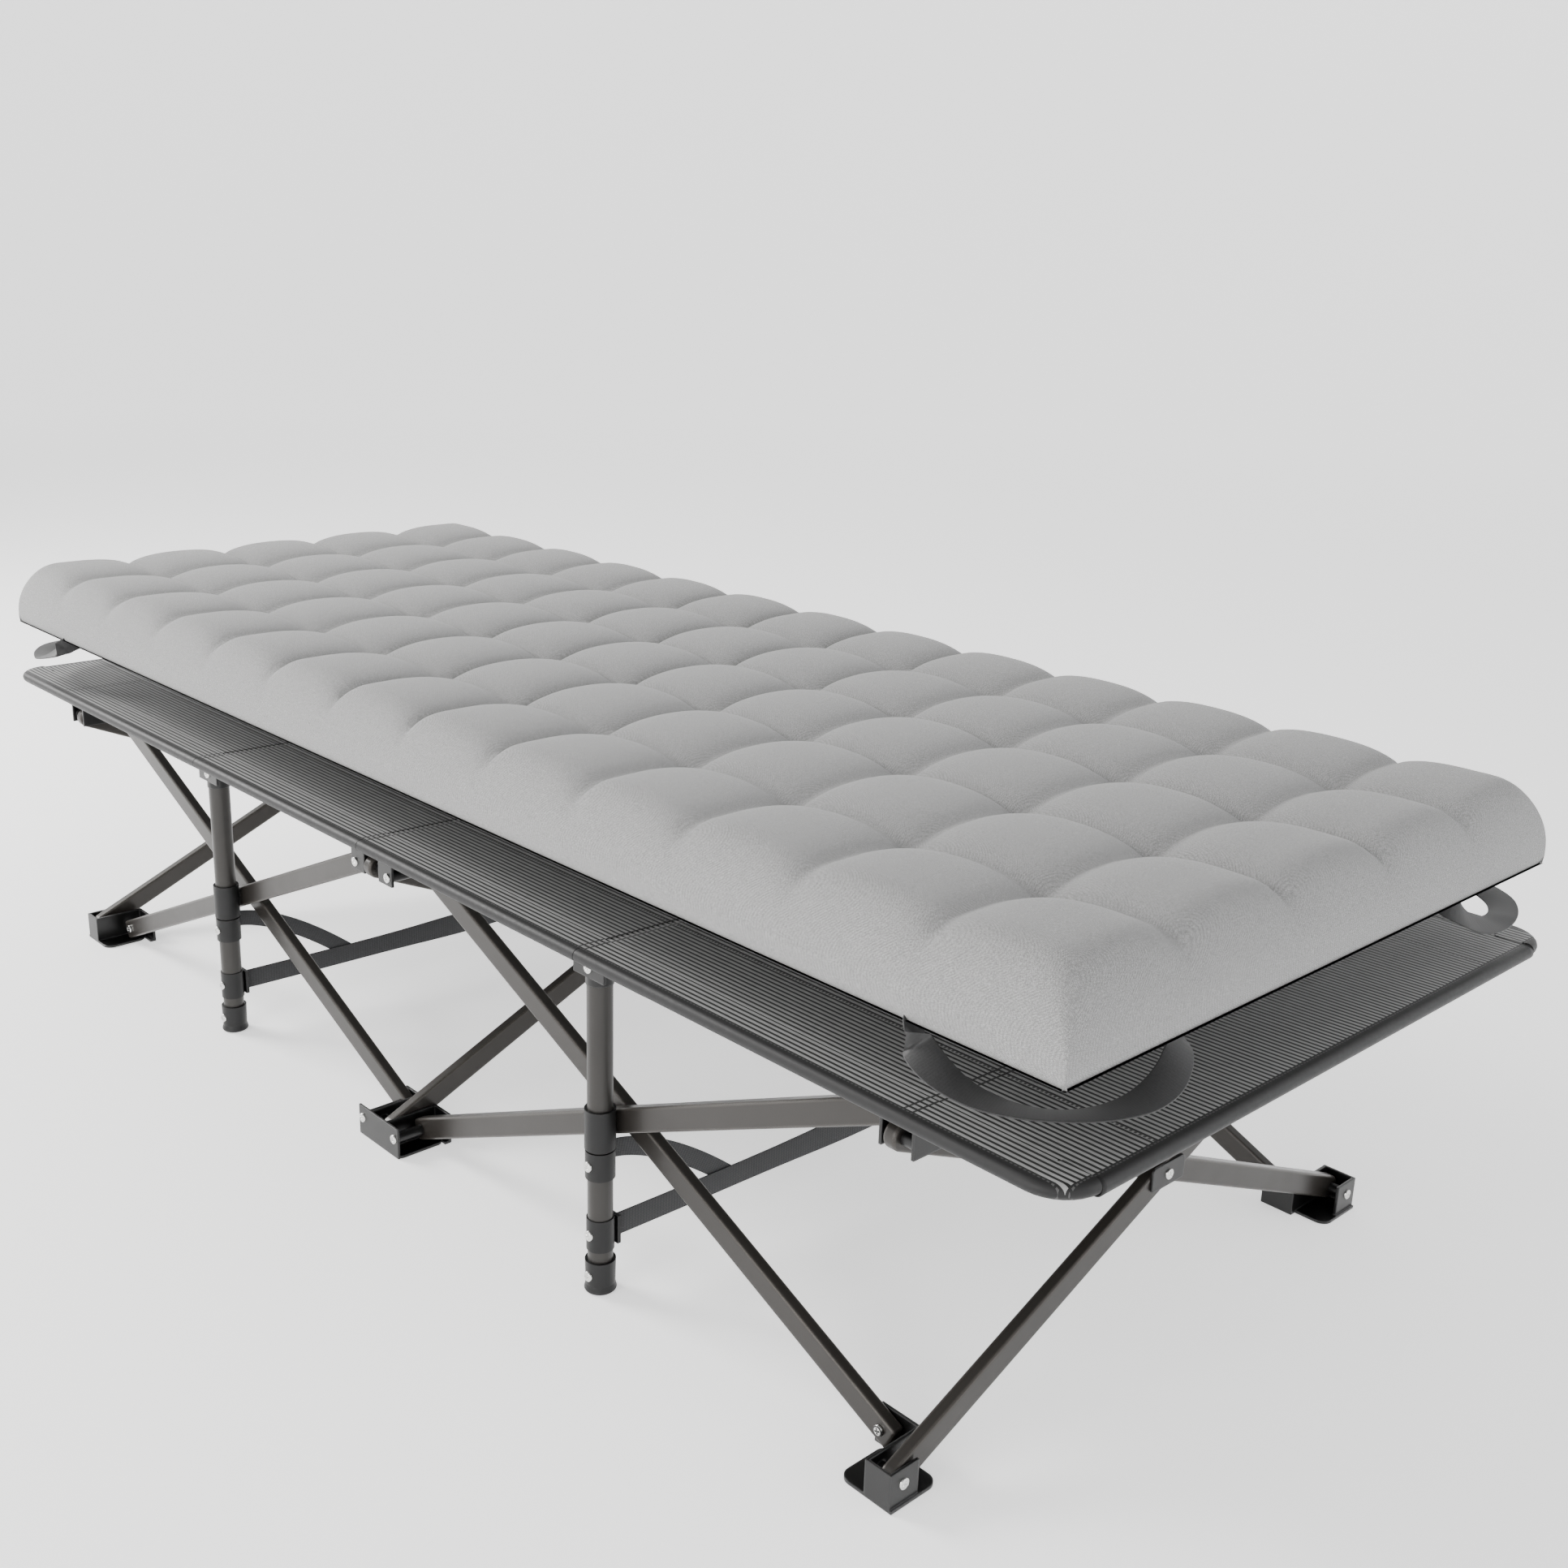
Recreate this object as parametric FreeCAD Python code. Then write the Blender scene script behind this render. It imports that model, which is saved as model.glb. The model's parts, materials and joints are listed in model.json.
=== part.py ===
"""Folding cot: a scissor-bundle steel frame under a full-length sling, with a loose tufted mattress.

Frame of the part, in millimetres: +X runs along the bed to its front end, -Y is the right side,
+Z is up, and z = 0 is the floor. Six feet stand straight below six hubs. Each pair of neighbours is
joined by two crossing arms, so pushing the hubs up draws the feet together in both directions.
Round legs stand at the crossings of the long sides and carry the rails that stretch the sling.
"""
import FreeCAD, Part
import math
import os

V = FreeCAD.Vector

# ---- driving dimensions -------------------------------------------------------------------
BAY = 766.0             # spacing of the feet along the bed, centre to centre
SPAN = 700.0            # pivot to pivot across every crossing pair, the same in both directions
LOW_Z = 22.0            # height of the pivots in the feet
HIGH_Z = 330.0          # height of the pivots in the hubs
ARM_TALL = 25.0
ARM_THICK = 13.0
ARM_WALL = 1.3
ARM_GAP = 1.0           # between two arms that cross
OUTER_ARM_V = 324.0     # distance of the outer layer of long-side arms from the bed's centre line
PIN_R = 3.0
PIN_PLAY = 0.08         # radial play of a pivot that carries the linkage
LOOSE_PLAY = 0.4        # radial play of a pivot that only closes a loop
HEAD_R = 5.0
BOSS_R = 6.0            # spacer rings between an arm and its walls
ARM_EDGE_R = 2.6
SQUARE_END = (13.5, 2.8)    # reach beyond the pivot and corner radius, where a bracket leaves room
SOFT_END = (12.5, 6.0)      # the same beside the middle walls
ROUND_END = (12.5, 12.5)    # the same inside a channel

PLATE_THICK = 3.0
PLATE_OUT = 28.5        # corner plate, from its node outwards
PLATE_IN = 33.0         # corner plate, from its node inwards
PLATE_MID = 42.0        # half length of a middle plate
PLATE_V = (307.0, 365.5)
HUB_PLATE_V = 360.5     # outer edge of the hub plates, clear of the rails
HOUSING_TALL = 36.0
HUB_TALL = 31.0
WALL = 3.0
OUTER_WALL_LONG = 34.0  # how far the outermost wall of a corner bracket runs inwards
CHANNEL_SPARE = 8.0     # room inside the channel beside an outer-layer cross arm
PLATE_CORNER_R = 12.0

RAIL_V = 371.5          # distance of the rails from the centre line
RAIL_Z = 359.6
RAIL_R = 5.0
RAIL_WALL = 1.1
RAIL_PIN_R = 2.5
RAIL_HUB_OFFSET = 24.0  # rail pivot beside the node
RAIL_LEG_OFFSET = 15.0  # rail end pivot beside the leg
RAIL_END_U = 906.0
TONGUE_LONG = 90.0
TONGUE_THICK = 4.0

LEG_V = 346.5
LEG_R = 12.5
LEG_WALL = 1.5
LEG_TOP_Z = 352.0
SLIDER_TALL = 42.0
COLLAR_WALL = 2.4
CAP_TALL = 34.0

SLING_L = 950.0         # half length
SLING_W = 378.0         # half width
SLING_TOP = 366.4
SLING_THICK = 1.7
SKIRT_LOW = 353.4
SKIRT_THICK = 1.1

MAT_L = 933.0           # half length of the mattress
MAT_W = 369.0
MAT_LOW = 438.0
MAT_TALL = 80.0
MAT_SKIN = 6.0

# ---- values that follow -------------------------------------------------------------------
SIDE_PIVOT = (BAY - SPAN) / 2          # long-side pivots, inwards from their node
WIDE_PIVOT = SPAN / 2                  # cross-wise pivots, from the centre line
RISE = HIGH_Z - LOW_Z
ARM_LONG = math.hypot(SPAN, RISE)
ARM_ANGLE = math.degrees(math.atan2(RISE, SPAN))
INNER_ARM_V = OUTER_ARM_V - ARM_THICK - ARM_GAP
BACK_WALL_V = INNER_ARM_V - ARM_THICK / 2 - 1.0
LAYER = (ARM_THICK + ARM_GAP) / 2
END_PAIR_U = BAY + 8.0                 # middle plane of the crossing pair at either end
CROSS_Z = (LOW_Z + HIGH_Z) / 2
LEG_U = BAY / 2
SIDES = {"right": -1, "left": 1}
ENDS = {"back": -1, "mid": 0, "front": 1}


def block(x, y, z):
    """A box between two limits on each axis, given in any order."""
    low = [min(x), min(y), min(z)]
    size = [abs(x[1] - x[0]), abs(y[1] - y[0]), abs(z[1] - z[0])]
    return Part.makeBox(*size, V(*low))


def rod(radius, start, end):
    """A round bar from one point to another."""
    way = V(*end) - V(*start)
    return Part.makeCylinder(radius, way.Length, V(*start), way)


def round_edges(solid, radius, wanted):
    """Round the edges for which wanted(edge) is true."""
    edges = [edge for edge in solid.Edges if wanted(edge)]
    return solid.makeFillet(radius, edges) if edges else solid


def upright(edge):
    low, high = edge.Vertexes[0].Point, edge.Vertexes[-1].Point
    return abs(low.x - high.x) < 0.01 and abs(low.y - high.y) < 0.01


def save(name, *solids):
    """Write one sub-part, its solids joined where they touch or kept apart in one compound."""
    shape = solids[0] if len(solids) == 1 else Part.makeCompound(list(solids))
    shape.exportStep("parts/" + name + ".step")
    print(name, len(shape.Solids), "solid(s)", round(shape.Volume / 1000, 1), "cm3", shape.isValid())


# ---- arms -----------------------------------------------------------------------------------
def bar_outline(length, tall, thick, low_end, high_end):
    """A bar with its two end pivots on the X axis and its middle plane on y = 0.

    Each end is a pair: how far it reaches beyond the pivot, and the radius of its two corners.
    """
    r = tall / 2
    half = thick / 2
    points = []
    for base, way, (reach, corner) in ((length, 1, high_end), (0, -1, low_end)):
        tip = base + way * reach
        bend = min(corner, r)
        short = bend * (1 - math.sqrt(0.5))
        for up in (-way, way):
            flat = (tip - way * bend, up * r)
            mid = (tip - way * short, up * (r - short))
            side = (tip, up * (r - bend))
            points.append((flat, mid, side) if up == -way else (side, mid, flat))
    edges = []
    for k, (start, mid, stop) in enumerate(points):
        a, b, c = [V(x, -half, z) for x, z in (start, mid, stop)]
        edges.append(Part.Arc(a, b, c).toShape())
        x, z = points[(k + 1) % 4][0]
        after = V(x, -half, z)
        if (after - c).Length > 0.001:
            edges.append(Part.makeLine(c, after))
    return Part.Face(Part.Wire(edges)).extrude(V(0, thick, 0))


def arm(play_low, play_high, pin_at_middle, low_end, high_end):
    """A closed steel box section with three pivots; the outer arm of a pair carries the middle pin."""
    bar = bar_outline(ARM_LONG, ARM_TALL, ARM_THICK, low_end, high_end)
    bar = round_edges(bar, min(ARM_EDGE_R, low_end[1] - 0.1, high_end[1] - 0.1),
                      lambda e: abs(abs(e.CenterOfMass.y) - ARM_THICK / 2) < 0.01)
    thinner = [(reach - ARM_WALL, max(corner - ARM_WALL, 0.5)) for reach, corner in (low_end, high_end)]
    cavity = bar_outline(ARM_LONG, ARM_TALL - 2 * ARM_WALL, ARM_THICK - 2 * ARM_WALL, *thinner)
    holes = [(0, PIN_R + play_low), (ARM_LONG, PIN_R + play_high)]
    if not pin_at_middle:
        holes.append((ARM_LONG / 2, PIN_R + PIN_PLAY))
    for along, radius in holes:
        sleeve = rod(radius + ARM_WALL, (along, -ARM_THICK / 2, 0), (along, ARM_THICK / 2, 0))
        cavity = cavity.cut(sleeve)
    bar = bar.cut(cavity)
    for along, radius in holes:
        bar = bar.cut(rod(radius, (along, -ARM_THICK, 0), (along, ARM_THICK, 0)))
    if pin_at_middle:
        inner_end = 1.5 * ARM_THICK + ARM_GAP
        bar = bar.fuse(rod(PIN_R, (ARM_LONG / 2, ARM_THICK / 2 - ARM_WALL, 0), (ARM_LONG / 2, inner_end, 0)))
    return bar


def place_arm(bar, foot, hub, inwards):
    """Turn a bar so it runs from its foot pivot to its hub pivot, its +Y side facing inwards."""
    along = (V(*hub) - V(*foot)).normalize()
    across = V(*inwards)
    up = along.cross(across)
    matrix = FreeCAD.Matrix(along.x, across.x, up.x, foot[0], along.y, across.y, up.y, foot[1],
                            along.z, across.z, up.z, foot[2], 0, 0, 0, 1)
    bar.Placement = FreeCAD.Placement(matrix)
    return bar


def side_arms(side, sign):
    """Four arms of one long side: two rise towards the front in the outer layer, two towards the back."""
    inwards = (0, -sign, 0)
    near, far = SIDE_PIVOT, BAY - SIDE_PIVOT
    outer, inner = sign * OUTER_ARM_V, sign * INNER_ARM_V
    plan = {
        "back_outer": ((-far, outer, LOW_Z), (-near, outer, HIGH_Z), LOOSE_PLAY),
        "front_outer": ((near, outer, LOW_Z), (far, outer, HIGH_Z), PIN_PLAY),
        "back_inner": ((-near, inner, LOW_Z), (-far, inner, HIGH_Z), PIN_PLAY),
        "front_inner": ((far, inner, LOW_Z), (near, inner, HIGH_Z), PIN_PLAY),
    }
    for name, (foot, hub, high_play) in plan.items():
        ends = [SQUARE_END if abs(spot[0]) == far else SOFT_END for spot in (foot, hub)]
        bar = arm(PIN_PLAY, high_play, name.endswith("outer"), *ends)
        save("arm_" + side + "_" + name, place_arm(bar, foot, hub, inwards))


def cross_plane(end):
    """The x of the arm that starts at the right foot and of the one that starts at the left foot."""
    if end == 0:
        return LAYER, -LAYER
    return end * (END_PAIR_U + LAYER), end * (END_PAIR_U - LAYER)


def cross_arms(name, end):
    """The crossing pair that joins the two sides at one end or in the middle."""
    right_x, left_x = cross_plane(end)
    inwards = (-end if end else -1, 0, 0)
    low_right, low_left = (right_x, -WIDE_PIVOT, LOW_Z), (left_x, WIDE_PIVOT, LOW_Z)
    high_left, high_right = (right_x, WIDE_PIVOT, HIGH_Z), (left_x, -WIDE_PIVOT, HIGH_Z)
    first = arm(PIN_PLAY, PIN_PLAY, True, ROUND_END, ROUND_END)
    second = arm(PIN_PLAY, LOOSE_PLAY, False, ROUND_END, ROUND_END)
    save("arm_" + name + "_cross_right", place_arm(first, low_right, high_left, inwards))
    save("arm_" + name + "_cross_left", place_arm(second, low_left, high_right, inwards))


# ---- feet and hubs ----------------------------------------------------------------------------
def bracket(end, sign, top):
    """A stamped foot, or the same bracket upside down as a hub: a plate with walls round the arm ends.

    u runs outwards along the bed, v outwards across it, and h away from the plate.
    """
    flip = end if end else 1
    base = HIGH_Z + LOW_Z if top else 0.0
    up = -1 if top else 1

    def part(u, v, h):
        return block([flip * a for a in u], [sign * a for a in v], [base + up * a for a in h])

    def pin(radius, start, finish):
        ends = [(flip * u, sign * v, base + up * h) for u, v, h in (start, finish)]
        return rod(radius, *ends)

    right_x, left_x = cross_plane(end)
    arm_u = flip * (right_x if (sign < 0) != top else left_x)
    arm_sides = (arm_u - ARM_THICK / 2 - 0.5, arm_u + ARM_THICK / 2 + 0.5)
    out_v = HUB_PLATE_V if top else PLATE_V[1]
    tall = HUB_TALL if top else HOUSING_TALL
    if end:
        plate = part((BAY - PLATE_IN, BAY + PLATE_OUT), (PLATE_V[0], out_v), (0, PLATE_THICK))
        outer_side = END_PAIR_U + 2 * LAYER + 1.5
        inner_side = arm_sides[0] - (CHANNEL_SPARE if arm_u > END_PAIR_U else 2.0)
        channel = (inner_side, outer_side)
        side_pivots = [BAY - SIDE_PIVOT]
        back_walls = [(BAY - SIDE_PIVOT - ARM_TALL / 2, channel[0])]
        wall_roots = (BACK_WALL_V - WALL, out_v - OUTER_WALL_LONG)
    else:
        plate = part((-PLATE_MID, PLATE_MID), (PLATE_V[0], out_v), (0, PLATE_THICK))
        channel = (-2 * LAYER - 0.5, 2 * LAYER + 0.5)
        side_pivots = [-SIDE_PIVOT, SIDE_PIVOT]
        back_walls = [(-SIDE_PIVOT - ARM_TALL / 2, channel[0]), (channel[1], SIDE_PIVOT + ARM_TALL / 2)]
        wall_roots = (BACK_WALL_V - WALL, BACK_WALL_V - WALL)

    def rounded(edge):
        if not upright(edge):
            return False
        spot = edge.Vertexes[0].Point
        outermost = end and math.hypot(spot.x - flip * (BAY + PLATE_OUT), spot.y - sign * out_v) < 1
        return not outermost

    body = round_edges(plate, PLATE_CORNER_R if end else 8.0, rounded)
    pieces = []
    for u, root in zip(((channel[0] - WALL, channel[0]), (channel[1], channel[1] + WALL)), wall_roots):
        pieces.append(part(u, (root, out_v), (0, tall)))
    for u in back_walls:
        pieces.append(part(u, (BACK_WALL_V - WALL, BACK_WALL_V), (0, tall)))
        pieces.append(part(u, (BACK_WALL_V - WALL, PLATE_V[0] + 1), (0, PLATE_THICK)))
    if not top:
        front = (channel[0] - WALL, channel[1] + WALL) if end else (-PLATE_MID + 1, PLATE_MID - 1)
        pieces.append(part(front, (out_v - 2.5, out_v), (0, tall)))
    elif not end:
        for way in (-1, 1):
            front = (way * (channel[1] + WALL), way * (PLATE_MID - 1))
            pieces.append(part(front, (out_v - WALL, out_v), (0, tall)))
    # spacer rings fill the room that each arm leaves free on its pin
    for u in side_pivots:
        outer_layer = (u > 0) != top if not end else (end > 0) == top
        v = OUTER_ARM_V if outer_layer else INNER_ARM_V
        inside, outside = v - ARM_THICK / 2 - 0.5, v + ARM_THICK / 2 + 0.5
        tip = outside + 2.5 if end else out_v
        pieces.append(pin(PIN_R, (u, BACK_WALL_V - 1, LOW_Z), (u, tip, LOW_Z)))
        if inside - BACK_WALL_V > 1:
            pieces.append(pin(BOSS_R, (u, BACK_WALL_V - 1, LOW_Z), (u, inside, LOW_Z)))
        if end:
            pieces.append(pin(HEAD_R, (u, outside, LOW_Z), (u, tip, LOW_Z)))
        else:
            pieces.append(pin(BOSS_R, (u, outside, LOW_Z), (u, out_v - 1, LOW_Z)))
    edges = (channel[0] - 1, channel[1] + 1)
    pieces.append(pin(PIN_R, (edges[0], WIDE_PIVOT, LOW_Z), (edges[1], WIDE_PIVOT, LOW_Z)))
    if arm_sides[0] - channel[0] > 1:
        pieces.append(pin(BOSS_R, (edges[0], WIDE_PIVOT, LOW_Z), (arm_sides[0], WIDE_PIVOT, LOW_Z)))
    if channel[1] - arm_sides[1] > 1:
        pieces.append(pin(BOSS_R, (arm_sides[1], WIDE_PIVOT, LOW_Z), (edges[1], WIDE_PIVOT, LOW_Z)))
    if top:
        # each rail turns on a stub that stands out from a lug on the hub's outer edge
        for u in ([BAY - RAIL_HUB_OFFSET] if end else [-RAIL_HUB_OFFSET, RAIL_HUB_OFFSET]):
            rail_h = base - RAIL_Z
            pieces.append(part((u - 9, u + 9), (out_v - WALL, out_v), (rail_h - 3.8, PLATE_THICK)))
            pieces.append(pin(RAIL_PIN_R, (u, out_v - 1, rail_h), (u, RAIL_V + RAIL_R - 1, rail_h)))
    for piece in pieces:
        body = body.fuse(piece)
    return body.removeSplitter()


def brackets():
    for side, sign in SIDES.items():
        for name, end in ENDS.items():
            save("foot_" + name + "_" + side, bracket(end, sign, False))
            save("hub_" + name + "_" + side, bracket(end, sign, True))


# ---- rails ----------------------------------------------------------------------------------------
def rail(start_u, stop_u, pivot_u, tongue_v, flip, sign):
    """A round tube from start_u to stop_u, its last stretch beside the leg drawn to a flat tongue."""
    way = 1 if stop_u > start_u else -1
    tube_end = stop_u - way * TONGUE_LONG

    def spot(u, v, z=RAIL_Z):
        return (flip * u, sign * v, z)

    body = rod(RAIL_R, spot(start_u, RAIL_V), spot(tube_end, RAIL_V))
    hollow = rod(RAIL_R - RAIL_WALL, spot(start_u + way * 2, RAIL_V), spot(tube_end - way * 2, RAIL_V))
    eye = rod(RAIL_PIN_R + PIN_PLAY + 1.0, spot(pivot_u, RAIL_V - RAIL_R), spot(pivot_u, RAIL_V + RAIL_R))
    body = body.cut(hollow.cut(eye))
    tongue_low, tongue_high = tongue_v
    tongue = block([flip * (tube_end - way * 6), flip * (stop_u - way * RAIL_R)],
                   [sign * tongue_low, sign * tongue_high], [RAIL_Z - RAIL_R + 0.5, RAIL_Z + RAIL_R - 0.5])
    tip = rod(RAIL_R - 0.5, spot(stop_u - way * RAIL_R, tongue_low), spot(stop_u - way * RAIL_R, tongue_high))
    body = body.fuse(tongue).fuse(tip)
    return body.cut(rod(RAIL_PIN_R + PIN_PLAY, spot(pivot_u, RAIL_V - 12), spot(pivot_u, RAIL_V + 12)))


def rails():
    """Long rails run past the corner hubs towards the ends, short ones from leg to middle hub."""
    outer_tongue = (RAIL_V + 0.7, RAIL_V + 0.7 + TONGUE_THICK)
    inner_tongue = (RAIL_V - 0.7 - TONGUE_THICK, RAIL_V - 0.7)
    long_stop = LEG_U + RAIL_LEG_OFFSET - 9.0
    short_stop = LEG_U - RAIL_LEG_OFFSET + 9.0
    for side, sign in SIDES.items():
        for name, flip in (("back", -1), ("front", 1)):
            long_rail = rail(RAIL_END_U, long_stop, BAY - RAIL_HUB_OFFSET, outer_tongue, flip, sign)
            short_rail = rail(RAIL_HUB_OFFSET - 9, short_stop, RAIL_HUB_OFFSET, inner_tongue, flip, sign)
            save("long_rail_" + name + "_" + side, long_rail)
            save("short_rail_" + name + "_" + side, short_rail)


# ---- legs -------------------------------------------------------------------------------------------
def collar(x, y, low, high, wall, play):
    """A sleeve round the leg tube."""
    outer = rod(LEG_R + play + wall, (x, y, low), (x, y, high))
    return outer.cut(rod(LEG_R + play, (x, y, low - 1), (x, y, high + 1)))


def leg_cap(x, y):
    """Moulded foot that flares to a rounded sole, closed under the tube."""
    waist = Part.makeCone(LEG_R + 2.2, LEG_R + 2.8, CAP_TALL - 8.0, V(x, y, 8.0), V(0, 0, 1))
    flare = Part.makeCone(LEG_R + 4.4, LEG_R + 2.2, 8.0, V(x, y, 0), V(0, 0, 1))
    flare = round_edges(flare, 2.5, lambda e: abs(e.CenterOfMass.z) < 0.01)
    return waist.fuse(flare).cut(rod(LEG_R + 0.05, (x, y, 4.0), (x, y, CAP_TALL + 1)))


def legs():
    for side, sign in SIDES.items():
        for name, flip in (("back", -1), ("front", 1)):
            x, y = flip * LEG_U, sign * LEG_V
            tag = name + "_" + side
            tube = rod(LEG_R, (x, y, 4.2), (x, y, LEG_TOP_Z))
            tube = tube.cut(rod(LEG_R - LEG_WALL, (x, y, 6.0), (x, y, LEG_TOP_Z - 1.5)))
            save("leg_tube_" + tag, tube)
            strap_collar = collar(x, y, 46.0, 80.0, 1.2, 0.05)
            ear_v = [sign * (LEG_V - LEG_R - 5), sign * (LEG_V - LEG_R - 1)]
            strap_ear = block([x - 10, x + 10], ear_v, [48, 78])
            strap_ear = strap_ear.cut(rod(LEG_R + 0.05, (x, y, 40), (x, y, 90)))
            stop = collar(x, y, 124.0, 153.0, 2.2, 0.05)
            stop = stop.cut(block([x - 30, x + 30], [sign * 331.2, sign * 300], [100, 170]))
            save("leg_fittings_" + tag, leg_cap(x, y), strap_collar.fuse(strap_ear), stop)
            save("leg_top_" + tag, leg_top(x, y, sign))
            save("slider_" + tag, slider(x, y, sign))


def leg_top(x, y, sign):
    """Bracket on the head of the leg: a cap round the tube and two ears under the rail ends."""
    cap = collar(x, y, 326.0, 350.0, 1.0, 0.05)
    cap = cap.cut(block([x - 30, x + 30], [sign * 331.2, sign * 300], [300, 380]))
    ears = block([x - 23, x + 23], [sign * 357.0, sign * 360.0], [334.0, 363.0])
    ears = round_edges(ears, 6.0, lambda e: e.CenterOfMass.z > 350 and abs(e.CenterOfMass.x - x) > 22
                       and abs(abs(e.CenterOfMass.y) - 358.5) < 0.1)
    lid = block([x - 16, x + 16], [sign * 333.5, sign * 360.0], [352.3, 355.0])
    ears = ears.cut(rod(LEG_R + 0.05, (x, y, 300), (x, y, 352.3)))
    return cap.fuse(ears).fuse(lid)


def slider(x, y, sign):
    """Sleeve that runs on the leg and hangs on the pin where the side arms cross."""
    low, high = CROSS_Z - SLIDER_TALL / 2, CROSS_Z + SLIDER_TALL / 2
    sleeve = collar(x, y, low, high, COLLAR_WALL, 0.4)
    trimmed = sleeve.cut(block([x - 30, x + 30], [sign * 331.2, sign * 300], [low - 5, high + 5]))
    return trimmed


# ---- cloth parts --------------------------------------------------------------------------------------
def sling():
    """Four panels of the sling between its folds, each a flat sheet with a hem hanging outside the rails."""
    edges = [-SLING_L, -LEG_U, 0.0, LEG_U, SLING_L]
    names = ["back_end", "back_mid", "front_mid", "front_end"]
    low, top = SLING_TOP - SLING_THICK, SLING_TOP
    for name, start, stop in zip(names, edges[:-1], edges[1:]):
        start += 0.5 if start > -SLING_L else 0
        stop -= 0.5 if stop < SLING_L else 0
        panel = block((start, stop), (-SLING_W, SLING_W), (low, top))
        for sign in SIDES.values():
            hem = block((start, stop), (sign * SLING_W, sign * (SLING_W - SKIRT_THICK)), (SKIRT_LOW, top))
            panel = panel.fuse(hem)
        for end_x in (start, stop):
            if abs(end_x) == SLING_L:
                inside = end_x - math.copysign(SKIRT_THICK, end_x)
                panel = panel.fuse(block((end_x, inside), (-SLING_W, SLING_W), (SKIRT_LOW, top)))
        save("sling_" + name, panel.removeSplitter())


def mattress():
    """A padded slab with rounded corners and edges; the filling is left out as a cavity inside its skin."""
    low, top = MAT_LOW, MAT_LOW + MAT_TALL
    pad = block((-MAT_L, MAT_L), (-MAT_W, MAT_W), (low, top))
    pad = round_edges(pad, 45.0, upright)
    pad = pad.makeFillet(18.0, [e for e in pad.Edges if abs(e.CenterOfMass.z - top) < 0.1])
    pad = pad.makeFillet(12.0, [e for e in pad.Edges if abs(e.CenterOfMass.z - low) < 0.1])
    filling = block((MAT_SKIN - MAT_L, MAT_L - MAT_SKIN), (MAT_SKIN - MAT_W, MAT_W - MAT_SKIN),
                    (low + MAT_SKIN, top - MAT_SKIN))
    filling = round_edges(filling, 45.0, upright)
    save("mattress", pad.cut(filling))


def corner_loops():
    """Four flat elastic bands, one across each lower corner of the mattress."""
    bands = []
    for sign in SIDES.values():
        for flip in (-1, 1):
            ends = [(flip * (MAT_L - 150), sign * (MAT_W - 22)), (flip * (MAT_L - 22), sign * (MAT_W - 150))]
            (x0, y0), (x1, y1) = ends
            length = math.hypot(x1 - x0, y1 - y0)
            band = Part.makeBox(length, 28.0, 1.4, V(0, -14.0, 0))
            turn = FreeCAD.Rotation(V(0, 0, 1), math.degrees(math.atan2(y1 - y0, x1 - x0)))
            band.Placement = FreeCAD.Placement(V(x0, y0, MAT_LOW - 1.6), turn)
            bands.append(band)
    save("corner_loops", *bands)


def cross_straps():
    """A webbing band from leg to leg, with a slanting strap down to it from each side."""
    band_low, band_high = 50.0, 76.0
    tie_low, tie_high = 137.0, 157.0     # the slanting straps start below the crossing side arms
    join_near, join_far = 190.0, 165.0   # and end on the band, this far from its middle
    reach = LEG_V - LEG_R - 5.5
    for name, flip in (("back", -1), ("front", 1)):
        x = flip * LEG_U
        band = block([x - 1, x + 1], [-reach, reach], [band_low, band_high])
        slants = []
        for sign in SIDES.values():
            landing = band_high + 0.2
            corners = [(reach, tie_low), (reach, tie_high), (join_far, landing), (join_near, landing)]
            outline = [V(x - 1, sign * v, z) for v, z in corners]
            face = Part.Face(Part.makePolygon(outline + [outline[0]]))
            slants.append(face.extrude(V(2, 0, 0)))
        save("cross_strap_" + name, band, *slants)


def cross_clips():
    """A channel clip over the crossing at each end, held by the middle pin of the outer arm."""
    for name, flip in (("back", -1), ("front", 1)):
        outer = END_PAIR_U + LAYER + ARM_THICK / 2 + 0.4
        web = block([flip * outer, flip * (outer + 2.0)], [-25, 25], [CROSS_Z - 12, CROSS_Z + 12])
        save("cross_clip_" + name, round_edges(web, 4.0, lambda e: abs(abs(e.CenterOfMass.y) - 25) < 0.1
                                               and abs(abs(e.CenterOfMass.z - CROSS_Z) - 12) < 0.1))


def main():
    os.makedirs("parts", exist_ok=True)
    for side, sign in SIDES.items():
        side_arms(side, sign)
    for name, end in ENDS.items():
        cross_arms(name, end)
    brackets()
    rails()
    legs()
    sling()
    mattress()
    corner_loops()
    cross_straps()
    cross_clips()
    print("arm angle", round(ARM_ANGLE, 3), "arm length", round(ARM_LONG, 2))


main()
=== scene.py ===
"""Folding cot: cloth, webbing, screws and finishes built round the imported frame, in metres.

+X runs along the bed to its front end, -Y is its right side, +Z is up and z = 0 is the floor.
"""
# %% [markdown]
# ## Loading the frame
# The steel and plastic parts are already made. They are loaded first, in metres and in their own
# places, and everything below is built round them without moving them.

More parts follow.
